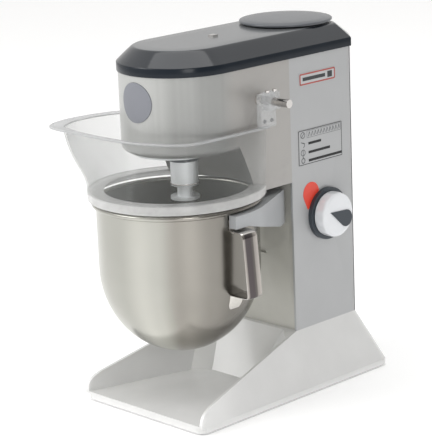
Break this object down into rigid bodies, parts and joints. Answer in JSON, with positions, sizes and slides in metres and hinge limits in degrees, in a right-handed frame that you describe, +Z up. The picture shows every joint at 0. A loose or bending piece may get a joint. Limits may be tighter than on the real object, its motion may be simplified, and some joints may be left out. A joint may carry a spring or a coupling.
{
  "type": "commercial stand mixer",
  "caption": "Tabletop planetary stand mixer with a removable bowl on a lifting yoke, a tilting clear guard, a lift lever and a rotary speed knob.",
  "frame": {"origin": "on the standing surface, under the middle of the whole machine's box, guard and handles included", "axes": "+Z up, -Y towards the bowl and the front, +X the side with the speed knob"},
  "size_m": [0.331, 0.4407, 0.537],
  "materials": {
    "base_enamel": "satin",
    "body_enamel": "satin",
    "dark_cover": "gloss",
    "cap_plastic": "gloss",
    "stainless": "satin",
    "bright": "polished",
    "steel": "machined",
    "cast_alloy": "satin",
    "sheet": "matt",
    "bronze": "machined",
    "black_rubber": "matt",
    "black_plastic": "matt",
    "board": "matt",
    "plug_grey": "matt",
    "charcoal": "satin",
    "white_plastic": "gloss",
    "shaft_steel": "machined",
    "label_grey": "satin",
    "signal_red": "satin",
    "clear_guard": "clear"
  },
  "bodies": {
    "stand": {"base_shell": "base_enamel", "base_plate": "sheet", "base_studs": "steel", "rubber_feet": "black_rubber", "cable_gland": "black_plastic", "column_shell": "body_enamel", "column_front_plate": "body_enamel", "rear_cover": "body_enamel", "rear_cover_screws": "stainless", "head_shell": "body_enamel", "nose_plug": "plug_grey", "top_cover": "dark_cover", "vent_cap": "cap_plastic", "cover_fastener": "bright", "frame_plate": "cast_alloy", "frame_posts": "steel", "gearbox_housing": "cast_alloy", "ring_gear": "steel", "carrier_bearings": "steel", "motor_body": "sheet", "motor_mount": "cast_alloy", "drive_belt": "black_rubber", "control_board": "board", "board_posts": "steel", "guide_rods": "bright", "rod_brackets": "cast_alloy", "lever_bushing": "bronze", "potentiometer": "black_plastic", "knob_ring": "charcoal", "chart_plate": "charcoal", "name_plate": "label_grey", "drop_label": "signal_red", "hinge_pins": "stainless", "guard_switch": "black_plastic"},
    "planetary": {"planet_carrier": "cast_alloy", "carrier_shaft": "steel", "drive_pulley": "cast_alloy", "beater_bushes": "bronze"},
    "beater_drive": {"planet_gear": "steel", "beater_shaft": "stainless", "coupling_disc": "stainless"},
    "motor_rotor": {"motor_shaft": "steel", "motor_pulley": "cast_alloy"},
    "bowl_carriage": {"yoke": "body_enamel", "slide_block": "cast_alloy", "rack": "steel"},
    "bowl_unit": {"bowl": "stainless", "bowl_handles": "stainless"},
    "lift_lever": {"lever_shaft": "bright", "lift_pinion": "steel", "lever_arm": "cast_alloy", "lever_knob": "black_plastic"},
    "guard": {"guard_shell": "clear_guard", "guard_arms": "clear_guard", "guard_clamps": "clear_guard", "guard_screws": "stainless"},
    "speed_knob": {"knob": "white_plastic", "knob_pointer": "charcoal", "knob_shaft": "shaft_steel"}
  },
  "joints": [
    {"name": "planetary_turn", "type": "hinge", "parent": "stand", "child": "planetary", "pos_m": [0.0145, -0.09295, 0.4], "axis": [0, 0, 1], "continuous": true},
    {"name": "beater_spin", "type": "hinge", "parent": "planetary", "child": "beater_drive", "pos_m": [0.0465, -0.10713, 0.4], "axis": [0, 0, 1], "continuous": true},
    {"name": "motor_spin", "type": "hinge", "parent": "stand", "child": "motor_rotor", "pos_m": [0.0145, 0.14235, 0.4], "axis": [0, 0, 1], "continuous": true},
    {"name": "bowl_lift", "type": "slide", "parent": "stand", "child": "bowl_carriage", "axis": [0, 0, 1], "range_m": [-0.05, 0]},
    {"name": "bowl_slide_out", "type": "slide", "parent": "bowl_carriage", "child": "bowl_unit", "axis": [0, -1, 0], "range_m": [0, 0.3]},
    {"name": "lever_turn", "type": "hinge", "parent": "stand", "child": "lift_lever", "pos_m": [0.0145, 0.11335, 0.225], "axis": [1, 0, 0], "range_deg": [0, 106.5]},
    {"name": "guard_tilt", "type": "hinge", "parent": "stand", "child": "guard", "pos_m": [0.0145, -0.01065, 0.4475], "axis": [-1, 0, 0], "range_deg": [0, 75]},
    {"name": "knob_turn", "type": "hinge", "parent": "stand", "child": "speed_knob", "pos_m": [0.1145, 0.12435, 0.2545], "axis": [-1, 0, 0], "range_deg": [0, 270]}
  ],
  "couplings": [
    {"joint": "beater_spin", "follows": "planetary_turn", "ratio": -3},
    {"joint": "motor_spin", "follows": "planetary_turn", "ratio": 3.5},
    {"joint": "lever_turn", "follows": "bowl_lift", "rad_per_m": -37.037}
  ]
}
